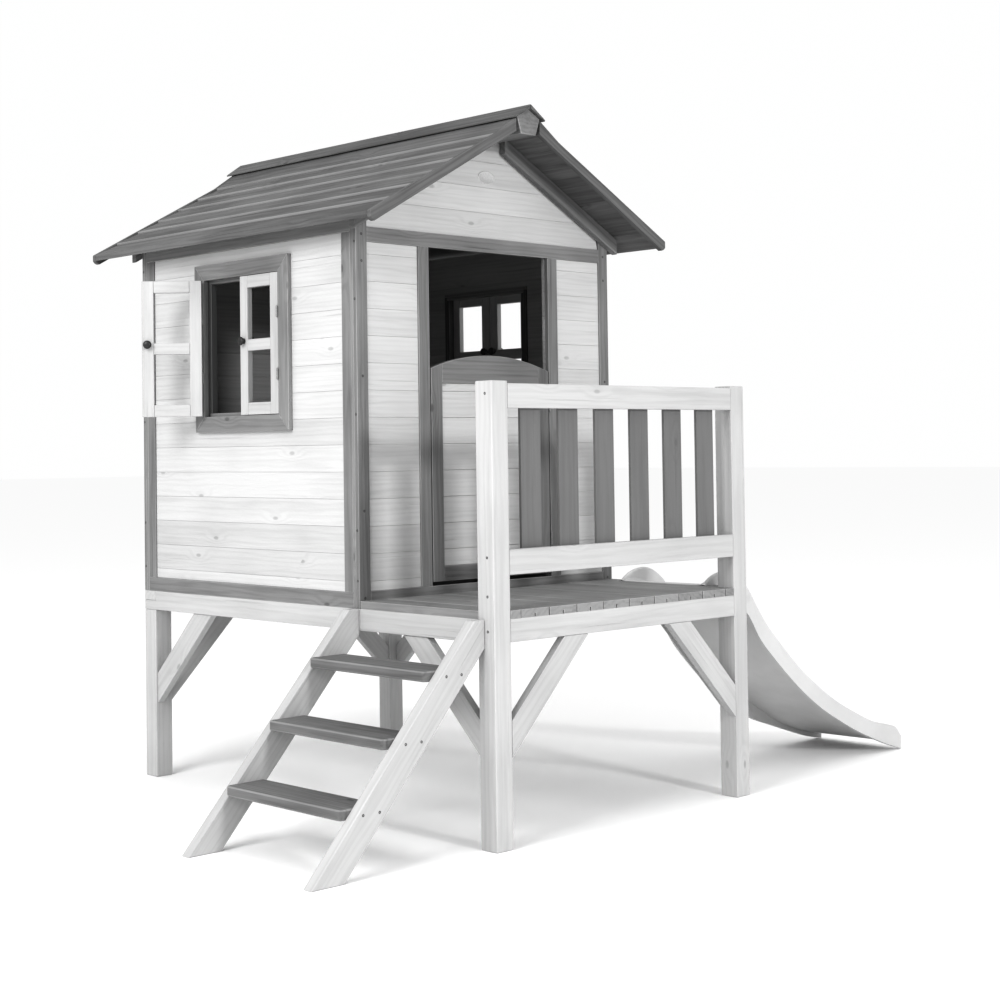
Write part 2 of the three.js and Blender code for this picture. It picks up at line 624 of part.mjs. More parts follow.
function addSlide() {
  const [y0, y1] = SLIDE_Y;
  const toe = [[SLIDE_END, 22], [SLIDE_END, 0]];
  const lip = [[HALF + 2, DECK_TOP + FIT], [RIM[0][0], DECK_TOP + FIT]];
  const wall = (foot, near) => alongY(
    outline([...curve(RIM, 40), ...toe, ...curve(foot, 32).reverse(), ...lip]), near, near + SLIDE_WALL);
  const top = curve(BED, 36);
  const under = top.map(([x, z], i) => {
    const [a, b] = [top[Math.max(i - 1, 0)], top[Math.min(i + 1, top.length - 1)]];
    const length = Math.hypot(b[0] - a[0], b[1] - a[1]);
    return [x + ((b[1] - a[1]) / length) * SLIDE_BED, z - ((b[0] - a[0]) / length) * SLIDE_BED];
  });
  const bed = outline([...top, ...under.reverse()]);
  const slide = joined(
    wall(NEAR_FOOT, y0),
    wall(FAR_FOOT, y1 - SLIDE_WALL),
    alongY(bed, y0 + 1, y1 - 1));
  add("slide", slide, PLASTIC);
}

// ---- assembly -----------------------------------------------------------------------------
addLegs();
addBeams();
addBraces();
addFloors();
addGableWall("wall_front", true);
addGableWall("wall_back", false);
addSideWalls();
addWindowFrames();
addShutters();
addDoor();
addRoof();
addRidge();
addRailing();
addLadder();
addSlide();
playhouse.position.set((LADDER_FOOT - SLIDE_END) / 2, -RIDGE_BACK / 2, 0);

export default playhouse;
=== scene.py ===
"""Looks of a wooden playhouse on legs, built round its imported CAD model. Metres, +Z up."""
import json
import math
import random

import bmesh
import bpy
from mathutils import Matrix, Vector


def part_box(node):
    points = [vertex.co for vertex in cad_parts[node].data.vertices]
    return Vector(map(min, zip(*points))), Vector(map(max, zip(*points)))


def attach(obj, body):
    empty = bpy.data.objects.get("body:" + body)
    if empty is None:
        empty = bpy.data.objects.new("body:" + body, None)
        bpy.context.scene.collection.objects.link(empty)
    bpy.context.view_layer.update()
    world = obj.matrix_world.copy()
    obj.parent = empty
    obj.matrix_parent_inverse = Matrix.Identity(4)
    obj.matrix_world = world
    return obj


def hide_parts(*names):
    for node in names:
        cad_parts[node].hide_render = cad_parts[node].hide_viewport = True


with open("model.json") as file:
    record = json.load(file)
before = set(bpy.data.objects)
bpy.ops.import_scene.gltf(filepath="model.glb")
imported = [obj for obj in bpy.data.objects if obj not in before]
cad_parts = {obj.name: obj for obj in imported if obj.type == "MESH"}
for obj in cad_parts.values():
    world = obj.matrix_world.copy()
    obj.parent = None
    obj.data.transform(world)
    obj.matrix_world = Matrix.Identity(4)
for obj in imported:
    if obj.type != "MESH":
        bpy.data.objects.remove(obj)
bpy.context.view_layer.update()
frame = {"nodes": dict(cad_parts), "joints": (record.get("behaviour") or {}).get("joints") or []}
scene = bpy.context.scene

# ---- the house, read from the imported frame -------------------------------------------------
front_low, front_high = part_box("wall_front_frame")
HOUSE_X = (front_low.x + front_high.x) / 2  # the middle of the house
HALF = (front_high.x - front_low.x) / 2
FRONT_Y = front_low.y  # outer face of the front wall
BACK_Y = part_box("wall_back_frame")[1].y
FLOOR_Z = front_low.z
DECK_LOW, DECK_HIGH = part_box("deck_boards")
DECK_Z = DECK_HIGH.z

# ---- sizes shared with the CAD model, in metres --------------------------------------------
WALL = 0.024
FRAME_THICK = 0.013
RECESS = 0.004  # the boards lie this far behind the wall frame's face
STILE = 0.038
SIDE_STILE = 0.036
SILL_TOP = 0.592
SIDE_SILL_TOP = 0.589
HEADER_BOTTOM = 1.501
HEADER_TOP = 1.540
PLATE_BOTTOM = 1.527
PLATE_TOP = 1.576
DOORWAY_HALF = 0.231
DOOR_POST = 0.039
BOARD_PITCH = 0.071
BOARD_FIRST_JOINT = 0.617
ROOF_PITCH = 0.5407  # fall for each metre out from the ridge
ROOF_PEAK = 1.866
ROOF_STACK = 0.018
ROOF_BOARDS = 7
BATTEN = 0.020
RAKE_THICK = 0.016
BARGE_DROP = 0.009
RAFTER_DROP = 0.044
RAFTER_STOP = 0.060  # the outer rafters end this far inside the eave
RIDGE_HALF = 0.044
CAP_HALF = 0.056
CAP_STACK = 0.012
CASING = 0.044
CASING_PROUD = 0.014
LINING = 0.010
STOP = 0.010
LINING_REACH = 0.006  # the lining stands this far into the room
LEAF_THICK = 0.018
LEAF_STILE = 0.034
LEAF_MID_RAIL = 0.032
PIVOT_PROUD = 0.003
PIVOT_GAP = 0.001
KNOB_RISE = 0.012
SHUTTER_OPEN = 132  # degrees from closed
DOOR_STILE = 0.041
DOOR_RAIL_BOTTOM = 1.136
DOOR_SHOULDER = 1.176
FLOOR_PITCH = 0.099
STRINGER_RUN = 0.045  # a stringer's width, measured level
SLIDE_WALL = 0.014
FIT = 0.0003
CLEARANCE = 0.001

# ---- sizes of the looks only, in metres ----------------------------------------------------
BOARD_EASE = 0.0004
JOINT = 0.0002  # half the gap where two boards meet
MITRE_GAP = 0.0004
CORNER_STRIP = 0.012
INSIDE_SHIFT = 0.008  # the joints of the inside boards lie this much higher
LEAST_STRIP = 0.004  # no board is ripped narrower than this
LEAST_TIP = 0.005  # half the top edge of the smallest gable board
FLOOR_GAP = 0.0014
FLOOR_GROOVE = (0.0016, 0.009)  # half its width, and its depth
DECK_SIDE_GAP = 0.0011
ROOF_LAP = 0.006
ROOF_LAP_GAP = 0.0005
RIDGE_LIFT = 0.011  # the top board rises to the underside of the ridge cap
# width of the strip that fades into the painted highlight on the lower edge of a roof board's lap
LAP_HIGHLIGHT_WIDTH = 0.005
RAKE_NOSE = ((0.006, 0.003), (0.014, 0.0))  # corners as (in from the eave, up from the lower edge)
INNER_RAFTER_GAP = 0.002
CAP_TAPER = 0.007
CAP_JOINT = 0.0004
CAP_OVERHANG = 0.010
SLIDE_FILLET = 0.012
SLIDE_SKIN = 0.005

# Spread of tone between boards, and the group's tone: higher is darker, and 1 is the full shadow.
SHADES = {
    "white_timber": (0.05, 0.22), "stained_timber": (0.05, 0.36),
    "deck": (0.10, -0.05), "floor": (0.10, 0.40),
    "trim": (0.08, 0.18), "cladding": (0.10, 0.0), "inside": (0.10, 0.1),
    "leaf": (0.02, 0.25), "door_frame": (0.06, 0.32), "door_boards": (0.08, 0.0),
    "roof": (0.06, 0.62), "roof_timbers": (0.06, 0.45),
    "ridge_beam": (0.05, 0.30), "ridge_cap": (0.08, 0.70),
}
LAP_HIGHLIGHT_TONE = 0.75  # how much lighter the painted highlight on the lower edge of a roof board's lap is
LINING_SHADE_TONE = 0.8  # painted shade: how much darker the upright sides of a window's lining and stop are, for the shade inside the hole
RAKE_TONE = 0.2
# painted light: the rafters in front of the gables are lighter than the inner ones, for the light that
# falls on their faces
OUTER_RAFTER_LIGHT_TONE = -0.25

# ---- camera and light ----------------------------------------------------------------------
CAMERA_PLACE = (-3.4246, -2.9796, 0.9550)  # from the middle of the house and the front of the posts
CAMERA_HEADING, CAMERA_TILT, CAMERA_ROLL = 42.92, -1.632, -0.749  # degrees
CAMERA_SHIFT = (0.06, -0.10)
SENSOR = 36.0
LENS = SENSOR * 1.7588
FLOOR_HALF = 60.0
LIGHT_HEIGHT = 0.9
WORLD_STRENGTH = 0.80
LIGHTS = (  # name, azimuth, elevation, distance, size, power
    ("front_softbox", 5, 16, 7.0, 0.7, 150),
    ("left_softbox", 80, 28, 6.0, 2.5, 168),
)
EXPOSURE = 0.32
GAMMA = 0.72

# ---- materials -----------------------------------------------------------------------------


class Nodes:
    """A material's node tree, with short calls for the nodes used here."""

    def __init__(self, name):
        self.material = bpy.data.materials.new(name)
        self.material.use_nodes = True
        self.tree = self.material.node_tree
        self.shader = self.tree.nodes["Principled BSDF"]

    def add(self, kind, inputs=None, **settings):
        node = self.tree.nodes.new(f"ShaderNode{kind}")
        for key, value in settings.items():
            setattr(node, key, value)
        for key, value in (inputs or {}).items():
            self.put(value, node.inputs[key])
        return node

    def put(self, value, socket):
        """A link if the value is another node's output, else the socket's own value."""
        if isinstance(value, bpy.types.NodeSocket):
            self.tree.links.new(value, socket)
        else:
            socket.default_value = value

    def math(self, operation, a, b=0.0):
        return self.add("Math", {0: a, 1: b}, operation=operation).outputs[0]

    def ramp(self, value, low, high, to_low=0.0, to_high=1.0):
        """A smooth step from to_low at low to to_high at high."""
        inputs = {"Value": value, "From Min": low, "From Max": high, "To Min": to_low, "To Max": to_high}
        return self.add("MapRange", inputs, interpolation_type="SMOOTHSTEP").outputs["Result"]

    def mix(self, factor, a, b):
        node = self.add("Mix", data_type="RGBA")
        self.put(factor, node.inputs["Factor"])
        self.put(a, node.inputs["A"])
        self.put(b, node.inputs["B"])
        return node.outputs["Result"]

    def scaled(self, vector, scale):
        return self.add("Mapping", {"Vector": vector, "Scale": scale}).outputs["Vector"]

    def noise(self, vector, scale, detail=3.0, roughness=0.55):
        inputs = {"Vector": vector, "Scale": scale, "Detail": detail, "Roughness": roughness}
        return self.add("TexNoise", inputs).outputs["Fac"]

    def bump(self, height, distance, strength=1.0):
        inputs = {"Height": height, "Distance": distance, "Strength": strength}
        self.put(self.add("Bump", inputs).outputs["Normal"], self.shader.inputs["Normal"])


def grey(value):
    return (value, value, value, 1.0)


def knots(n, grain):
    """Knots set about on the face of a board, and the swirl of the rings round them."""
    parts = n.add("SeparateXYZ", {"Vector": grain})
    across = n.math("ADD", parts.outputs["Y"], parts.outputs["Z"])
    flat = n.add("CombineXYZ", {"X": parts.outputs["X"], "Y": across}).outputs["Vector"]
    cell_inputs = {"Vector": n.scaled(flat, (4.0, 9.0, 1.0)), "Scale": 1.0, "Randomness": 1.0}
    cells = n.add("TexVoronoi", cell_inputs, voronoi_dimensions="2D")
    cell_kind = n.add("SeparateColor", {"Color": cells.outputs["Color"]}).outputs["Red"]
    present = n.ramp(cell_kind, 0.70, 0.72)
    distance = cells.outputs["Distance"]
    knot = n.math("MULTIPLY", n.ramp(distance, 0.060, 0.025), present)
    swirl = n.math("MULTIPLY", n.ramp(distance, 0.30, 0.0), present)
    return knot, swirl


def wood(name, paint, shadow, figure, knot_dark, roughness, relief):
    """Softwood under paint or stain: growth rings, fibres, knots and a tone of its own per board.

    The pieces carry a vector, grain, whose x runs along the fibres, and a number, tone."""
    n = Nodes(name)
    grain = n.add("Attribute", attribute_name="grain").outputs["Vector"]
    tone = n.add("Attribute", attribute_name="tone").outputs["Fac"]
    knot, swirl = knots(n, grain)
    ring_inputs = {
        "Vector": n.scaled(grain, (0.10, 1.0, 1.0)), "Scale": 24.0, "Distortion": 7.0, "Detail": 2.0,
        "Detail Scale": 1.4, "Phase Offset": n.math("MULTIPLY", swirl, 9.0),
    }
    rings = n.add("TexWave", ring_inputs, wave_type="RINGS", rings_direction="X").outputs["Fac"]
    fibres = n.noise(n.scaled(grain, (6.0, 260.0, 260.0)), 1.0, 4.0, 0.65)
    streaks = n.noise(n.scaled(grain, (1.6, 34.0, 34.0)), 1.0, 3.0, 0.6)
    clouds = n.noise(grain, 3.4, 2.0, 0.5)
    cracks = n.ramp(n.noise(n.scaled(grain, (2.2, 150.0, 150.0)), 1.0, 1.0), 0.70, 0.76)

    marks = (
        (n.ramp(rings, 0.30, 1.0), figure * 0.55), (n.ramp(fibres, 0.40, 0.76), figure * 0.5),
        (n.ramp(streaks, 0.40, 0.75), figure * 0.9), (n.ramp(clouds, 0.35, 0.75), figure * 0.9),
        (cracks, figure * 1.1), (knot, knot_dark),
    )
    dark = tone
    for pattern, weight in marks:
        dark = n.math("ADD", dark, n.math("MULTIPLY", pattern, weight))
    n.put(n.mix(dark, grey(paint), grey(shadow)), n.shader.inputs["Base Color"])
    n.put(n.ramp(fibres, 0.2, 0.8, roughness - 0.08, roughness + 0.08), n.shader.inputs["Roughness"])
    height = n.math("ADD", n.math("MULTIPLY", fibres, 0.5), n.math("MULTIPLY", rings, 0.35))
    height = n.math("SUBTRACT", height, n.math("MULTIPLY", n.math("ADD", cracks, knot), 0.8))
    n.bump(height, relief)
    n.shader.inputs["Specular IOR Level"].default_value = 0.35
    return n.material


def moulded_plastic(name, light, dark, roughness):
    """Rotation-moulded plastic: a faint orange peel, soft scuffs and slightly duller patches."""
    n = Nodes(name)
    position = n.add("TexCoord").outputs["Object"]
    peel = n.noise(position, 420.0, 2.0)
    patches = n.noise(position, 5.0, 3.0)
    scuffs = n.ramp(n.noise(n.scaled(position, (8.0, 190.0, 8.0)), 1.0, 2.0), 0.66, 0.74)
    dull = n.math("MULTIPLY", n.ramp(patches, 0.35, 0.7), 0.5)
    shade = n.math("ADD", dull, n.math("MULTIPLY", scuffs, 0.35))
    n.put(n.mix(shade, grey(light), grey(dark)), n.shader.inputs["Base Color"])
    n.put(n.ramp(patches, 0.3, 0.7, roughness - 0.05, roughness + 0.10), n.shader.inputs["Roughness"])
    n.bump(peel, 0.0003, 0.5)
    return n.material


def mottled(name, light, roughness, metallic):
    """Plated steel or lacquer: a fine mottling in tone, gloss and height."""
    n = Nodes(name)
    position = n.add("TexCoord").outputs["Object"]
    mottle = n.noise(position, 260.0, 4.0)
    n.put(n.mix(mottle, grey(light * 0.7), grey(light * 1.2)), n.shader.inputs["Base Color"])
    n.put(n.ramp(mottle, 0.3, 0.7, roughness - 0.08, roughness + 0.12), n.shader.inputs["Roughness"])
    n.bump(mottle, 0.0002, 0.4)
    n.shader.inputs["Metallic"].default_value = metallic
    return n.material


# name, paint, shadow, figure, darkness of the knots, roughness, relief
WHITE = wood("white_painted_wood", 0.58, 0.29, 0.15, 0.45, 0.55, 0.0004)
STAIN = wood("grey_stained_wood", 0.310, 0.095, 0.22, 0.42, 0.62, 0.0005)
STAIN_EDGE = wood("grey_stained_wood_worn_edge", 0.42, 0.17, 0.26, 0.40, 0.62, 0.0005)
# the boards that face the room are a darker wood than the white outside boards
INSIDE = wood("darker_inside_wood", 0.46, 0.20, 0.20, 0.35, 0.7, 0.0004)
SLAT = wood("grey_stained_fine_wood", 0.250, 0.090, 0.09, 0.2, 0.6, 0.0003)
WHITES = (WHITE,)
STAINS = (STAIN, STAIN_EDGE)  # the last material is the one on eased edges
PLASTIC = moulded_plastic("white_moulded_plastic", 0.60, 0.51, 0.36)
KNOB = mottled("dark_lacquered_knob", 0.035, 0.35, 0.0)
STEEL = mottled("darkened_steel", 0.10, 0.45, 0.6)
HINGE = mottled("zinc_plated_steel", 0.30, 0.45, 0.5)
PLAQUE = mottled("plaque_plate", 0.55, 0.5, 0.0)

# ---- building with boards ------------------------------------------------------------------
AXES = {"x": Vector((1, 0, 0)), "y": Vector((0, 1, 0)), "z": Vector((0, 0, 1))}
chance = random.Random(7)


class Lumber:
    """Boards gathered into one mesh. Each vertex carries its board's grain coordinate and tone."""

    def __init__(self, shade):
        self.mesh = bmesh.new()
        self.grain = self.mesh.verts.layers.float_vector.new("grain")
        self.tone = self.mesh.verts.layers.float.new("tone")
        self.spread, self.base_tone = SHADES[shade]

    def mark(self, vertices, along, tone=0.0):
        """Lays the grain along a direction, from a random place in a random log."""
        along = (AXES[along] if isinstance(along, str) else along).normalized()
        side = along.cross(AXES["z"] if abs(along.z) < 0.9 else AXES["y"]).normalized()
        depth = along.cross(side)
        shift = Vector((chance.uniform(0, 9), chance.uniform(0.03, 0.30), chance.uniform(-0.12, 0.12)))
        board_tone = self.base_tone + tone + chance.uniform(-self.spread, self.spread)
        for vertex in vertices:
            place = Vector((vertex.co @ along, vertex.co @ side, vertex.co @ depth))
            vertex[self.grain] = place + shift
            vertex[self.tone] = board_tone

    def prism(self, outline, axis, near, far, along, tone=0.0, highlit=()):
        """A straight solid: an outline in the two other axes, in x y z order, from near to far.

        The corners of the outline that are listed as highlit are painted lighter, a painted highlight where
        light catches that edge."""
        at = "xyz".index(axis)
        ends = []
        for depth in (near, far):
            ring = []
            for a, b in outline:
                place = [a, b]
                place.insert(at, depth)
                ring.append(self.mesh.verts.new(place))
            ends.append(ring)
        low, high = ends
        self.mesh.faces.new(low)
        self.mesh.faces.new(list(reversed(high)))
        for i in range(len(low)):
            j = (i + 1) % len(low)
            self.mesh.faces.new((low[j], low[i], high[i], high[j]))
        self.mark(low + high, along, tone)
        for i in highlit:
            for vertex in (low[i], high[i]):
                vertex[self.tone] -= LAP_HIGHLIGHT_TONE

    def copy_of(self, node, along):
        """The solid of a CAD node, as one board."""
        start = len(self.mesh.verts)
        self.mesh.from_mesh(frame["nodes"][node].data)
        self.mesh.verts.ensure_lookup_table()
        fresh = self.mesh.verts[start:]
        bmesh.ops.remove_doubles(self.mesh, verts=fresh, dist=1e-5)
        self.mesh.verts.ensure_lookup_table()
        self.mark(self.mesh.verts[start:], along)

    def finish(self, name, body, nodes, materials, bevel, slot="grey_wood"):
        """The gathered boards as one piece, with eased edges in the last of the materials."""
        bmesh.ops.recalc_face_normals(self.mesh, faces=self.mesh.faces)
        bmesh.ops.dissolve_limit(
            self.mesh, angle_limit=math.radians(0.5), verts=self.mesh.verts, edges=self.mesh.edges,
            delimit={"NORMAL"})
        piece = piece_from(self.mesh, name, body, nodes, materials)
        ease_edges(piece, bevel, 3, 30).material = len(materials) - 1


def piece_from(mesh, name, body, nodes, materials):
    """A finished piece that rides on a body and stands for the CAD nodes named."""
    data = bpy.data.meshes.new(name)
    for face in mesh.faces:
        face.smooth = True
    mesh.to_mesh(data)
    mesh.free()
    for attribute in ("custom_normal", "sharp_face"):
        if attribute in data.attributes:
            data.attributes.remove(data.attributes[attribute])
    for material in materials:
        data.materials.append(material)
    piece = bpy.data.objects.new(name, data)
    scene.collection.objects.link(piece)
    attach(piece, body)
    if nodes:
        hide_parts(*nodes)
    return piece


def ease_edges(piece, width, segments, least_angle):
    modifier = piece.modifiers.new("eased_edges", "BEVEL")
    modifier.width = width
    modifier.segments = segments
    modifier.limit_method = "ANGLE"
    modifier.angle_limit = math.radians(least_angle)
    modifier.harden_normals = True
    return modifier


def rectangle(a0, a1, b0, b1):
    return [(a0, b0), (a1, b0), (a1, b1), (a0, b1)]


def timber(node, along, materials, bevel=0.002):
    """A straight CAD timber with eased edges and its grain along its length."""
    white = materials is WHITES
    lumber = Lumber("white_timber" if white else "stained_timber")
    lumber.copy_of(node, along)
    slot = "white_wood" if white else "grey_wood"
    lumber.finish(f"{node}_timber", "house", [node], materials, bevel, slot)


# ---- leg frame, ladder and railing ---------------------------------------------------------
def make_leg_frame():
    for side in ("left", "right"):
        timber(f"post_front_{side}", "z", WHITES, 0.003)
        timber(f"leg_back_{side}", "z", WHITES, 0.003)
        timber(f"beam_{side}_house", "y", WHITES)
        timber(f"beam_{side}_deck", "y", WHITES)
    for node in ("beam_front", "beam_middle", "beam_back"):
        timber(node, "x", WHITES)
    for side, outward in (("left", -1), ("right", 1)):
        for end, forward in (("front", -1), ("back", 1)):
            timber(f"brace_{end}_{side}_across", Vector((outward, 0, -1)), WHITES, 0.0015)
            timber(f"brace_{end}_{side}_along", Vector((0, forward, -1)), WHITES, 0.0015)


def make_ladder():
    low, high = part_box("ladder_stringer_front")
    rise = Vector((high.x - low.x - STRINGER_RUN, 0, high.z - low.z))
    for place in ("front", "rear"):
        timber(f"ladder_stringer_{place}", rise, WHITES, 0.003)
    for i in (1, 2, 3):
        timber(f"ladder_tread_{i}", "y", STAINS, 0.004)


def make_railing():
    timber("rail_top", "x", WHITES)
    timber("rail_bottom", "x", WHITES)
    for i in range(1, 7):
        timber(f"railing_slat_{i}", "z", (SLAT,), 0.001)


# ---- deck and floor ------------------------------------------------------------------------
def floor_boards(x0, x1):
    """Outlines of boards running front to back, with a shallow groove under the middle of each."""
    joints = []
    position = 0.0
    while position < (x1 - x0) / 2:
        joints += [position] if position == 0.0 else [-position, position]
        position += FLOOR_PITCH
    edges = sorted([x0 - HOUSE_X, x1 - HOUSE_X] + joints)
    groove, deep = FLOOR_GROOVE
    for a, b in zip(edges, edges[1:]):
        a, b = a + FLOOR_GAP + HOUSE_X, b - FLOOR_GAP + HOUSE_X
        middle = (a + b) / 2
        low, high = FLOOR_Z, DECK_Z - chance.uniform(0, 0.0006)
        yield [(a, low), (middle - groove, low), (middle - groove, low + deep),
               (middle + groove, low + deep), (middle + groove, low), (b, low), (b, high), (a, high)]


def make_deck():
    """The deck's boards. The outermost ones are notched round the front posts, as two lengths."""
    deck = Lumber("deck")
    low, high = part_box("deck_boards")
    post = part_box("post_front_left")[1]
    for outline in floor_boards(low.x, high.x):
        outer = min(abs(outline[0][0] - HOUSE_X), abs(outline[5][0] - HOUSE_X))
        start = post.y + FIT if outer > HALF - 0.1 else low.y
        deck.prism(outline, "y", start + chance.uniform(0, 0.0008), high.y, "y")
    for side in (-1, 1):
        a = HOUSE_X + side * (HOUSE_X - post.x - FIT)
        b = HOUSE_X + side * (4 * FLOOR_PITCH + DECK_SIDE_GAP)
        deck.prism(rectangle(*sorted((a, b)), FLOOR_Z, DECK_Z), "y", low.y, post.y + FIT, "y")
    deck.finish("deck_floorboards", "house", ["deck_boards"], STAINS, 0.0010)


def make_house_floor():
    floor = Lumber("floor")
    low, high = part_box("house_floor")
    for outline in floor_boards(low.x, high.x):
        floor.prism(outline, "y", low.y, high.y, "y")
    floor.finish("house_floorboards", "house", ["house_floor"], STAINS, 0.0012)


# ---- walls ---------------------------------------------------------------------------------
def roof_top(offset):
    return ROOF_PEAK - ROOF_PITCH * abs(offset)


def roof_under(offset):
    return roof_top(offset) - ROOF_STACK


def levels(low, high, shift=0.0):
    """Pairs of heights, one for each board of a wall between two heights."""
    first = BOARD_FIRST_JOINT + shift
    joints = [first + i * BOARD_PITCH for i in range(-1, 20)]
    inside = [z for z in joints if low + LEAST_STRIP < z < high - LEAST_STRIP]
    return list(zip([low] + inside, inside + [high]))


def gable_outlines(half, low, high, shift=0.0):
    """One outline in x and z for each board of a gable, cut along the slope of the roof."""
    def reach(z):
        return min(half, (ROOF_PEAK - ROOF_STACK - CLEARANCE - z) / ROOF_PITCH)

    for z0, z1 in levels(low, high, shift):
        low_edge, high_edge = z0 + JOINT, z1 - JOINT
        wide, narrow = reach(low_edge), reach(high_edge)
        if narrow < LEAST_TIP:
            continue
        yield [(HOUSE_X - wide, low_edge), (HOUSE_X + wide, low_edge),
               (HOUSE_X + narrow, high_edge), (HOUSE_X - narrow, high_edge)]


def wall_depth(front, near, far):
    """y of the two faces of a layer that lies near to far behind the wall's outer face."""
    return (FRONT_Y + near, FRONT_Y + far) if front else (BACK_Y - far, BACK_Y - near)


def gable_trim(name, front):
    """Stiles, sill and header of a gable wall, the doorway's posts and the strips in its corners."""
    trim = Lumber("trim")
    outer = wall_depth(front, 0.0, FRAME_THICK)
    top = roof_under(HALF) - CLEARANCE
    for side in (-1, 1):
        a, b = HOUSE_X + side * (HALF - STILE), HOUSE_X + side * HALF
        stile = [(a, FLOOR_Z), (b, FLOOR_Z), (b, top), (a, roof_under(HALF - STILE) - CLEARANCE)]
        trim.prism(stile, "y", *outer, "z")
        strip = rectangle(*sorted((b, b - side * CORNER_STRIP)), FLOOR_Z, top)
        trim.prism(strip, "y", *wall_depth(front, FRAME_THICK, WALL), "z")
    left, right = HOUSE_X - HALF + STILE, HOUSE_X + HALF - STILE
    trim.prism(rectangle(left, right, FLOOR_Z, SILL_TOP), "y", *outer, "x")
    trim.prism(rectangle(left, right, HEADER_BOTTOM, HEADER_TOP), "y", *outer, "x")
    if front:
        for side in (-1, 1):
            a, b = sorted((HOUSE_X + side * DOORWAY_HALF, HOUSE_X + side * (DOORWAY_HALF + DOOR_POST)))
            trim.prism(rectangle(a, b, SILL_TOP, HEADER_BOTTOM), "y", *outer, "z")
    trim.finish(f"{name}_trim", "house", [f"{name}_frame"], STAINS, 0.0015)


def gable_cladding(name, front):
    """White boards between the trim, with a gap for the doorway in the front wall."""
    boards = Lumber("cladding")
    layer = wall_depth(front, RECESS, FRAME_THICK + JOINT)
    left, right = HOUSE_X - HALF + STILE, HOUSE_X + HALF - STILE
    post = DOORWAY_HALF + DOOR_POST
    fields = [(left, HOUSE_X - post), (HOUSE_X + post, right)] if front else [(left, right)]
    for x0, x1 in fields:
        for z0, z1 in levels(SILL_TOP, HEADER_BOTTOM):
            boards.prism(rectangle(x0 + FIT, x1 - FIT, z0 + JOINT, z1 - JOINT), "y", *layer, "x")
    for outline in gable_outlines(HALF - STILE - FIT, HEADER_TOP, roof_under(0)):
        boards.prism(outline, "y", *layer, "x")
    boards.finish(f"{name}_cladding", "house", [f"{name}_boards"], WHITES, BOARD_EASE, "white_wood")


def gable_inside(name, front):
    """The layer of boards that faces the room."""
    inside = Lumber("inside")
    reach = HALF - CORNER_STRIP - JOINT
    layer = wall_depth(front, FRAME_THICK + 2 * JOINT, WALL)
    for outline in gable_outlines(reach, FLOOR_Z, roof_under(0), INSIDE_SHIFT):
        z0, z1 = outline[0][1], outline[2][1]
        if front and z0 < HEADER_BOTTOM and z1 > SILL_TOP:
            for side in (-1, 1):
                a, b = sorted((HOUSE_X + side * DOORWAY_HALF, HOUSE_X + side * reach))
                inside.prism(rectangle(a, b, z0, min(z1, roof_under(HALF))), "y", *layer, "x")
        else:
            inside.prism(outline, "y", *layer, "x")
    inside.finish(f"{name}_inside", "house", [], (INSIDE,), BOARD_EASE)


def with_window(y0, y1, z0, z1, hole):
    """Outlines of one wall board, cut round the window's hole where the two meet."""
    h0, h1, low, high = hole
    if z1 <= low or z0 >= high:
        return [rectangle(y0, y1, z0, z1)]
    if z0 < low:
        return [[(y0, z0), (y1, z0), (y1, z1), (h1, z1), (h1, low), (h0, low), (h0, z1), (y0, z1)]]
    if z1 > high:
        return [[(y0, z0), (h0, z0), (h0, high), (h1, high), (h1, z0), (y1, z0), (y1, z1), (y0, z1)]]
    return [rectangle(y0, h0, z0, z1), rectangle(h1, y1, z0, z1)]


def wall_layer(side, near, far):
    """x of the two faces of a layer of a side wall, counted from its outer face."""
    return sorted((HOUSE_X + side * (HALF - near), HOUSE_X + side * (HALF - far)))


def side_trim(name, side, y0, y1):
    trim = Lumber("trim")
    outer = wall_layer(side, 0.0, FRAME_THICK)
    trim.prism(rectangle(y0, y1, FLOOR_Z, SIDE_SILL_TOP), "x", *outer, "y")
    trim.prism(rectangle(y0, y1, PLATE_BOTTOM, PLATE_TOP), "x", *outer, "y")
    for a, b in ((y0, y0 + SIDE_STILE), (y1 - SIDE_STILE, y1)):
        trim.prism(rectangle(a, b, SIDE_SILL_TOP, PLATE_BOTTOM), "x", *outer, "z")
    trim.finish(f"{name}_trim", "house", [f"{name}_frame"], STAINS, 0.0015)


def make_side_wall(wall, side):
    """Trim, outside boards and inside boards of a wall with a window."""
    name = f"wall_{wall}"
    low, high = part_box(f"{name}_frame")
    side_trim(name, side, low.y, high.y)

    window_low, window_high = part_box(f"window_frame_{wall}")
    inset = CASING - LINING - FIT
    hole = (window_low.y + inset, window_high.y - inset, window_low.z + inset, window_high.z - inset)

    def fill(lumber, y0, y1, heights, layer):
        for z0, z1 in heights:
            for outline in with_window(y0, y1, z0 + JOINT, z1 - JOINT, hole):
                lumber.prism(outline, "x", *layer, "y")

    boards = Lumber("cladding")
    fill(boards, low.y + SIDE_STILE + FIT, high.y - SIDE_STILE - FIT, levels(SIDE_SILL_TOP, PLATE_BOTTOM),
         wall_layer(side, RECESS, FRAME_THICK + JOINT))
    boards.finish(f"{name}_cladding", "house", [f"{name}_boards"], WHITES, BOARD_EASE, "white_wood")
    inside = Lumber("inside")
    fill(inside, low.y, high.y, levels(FLOOR_Z, PLATE_TOP, INSIDE_SHIFT),
         wall_layer(side, FRAME_THICK + 2 * JOINT, WALL))
    inside.finish(f"{name}_inside", "house", [], (INSIDE,), BOARD_EASE)


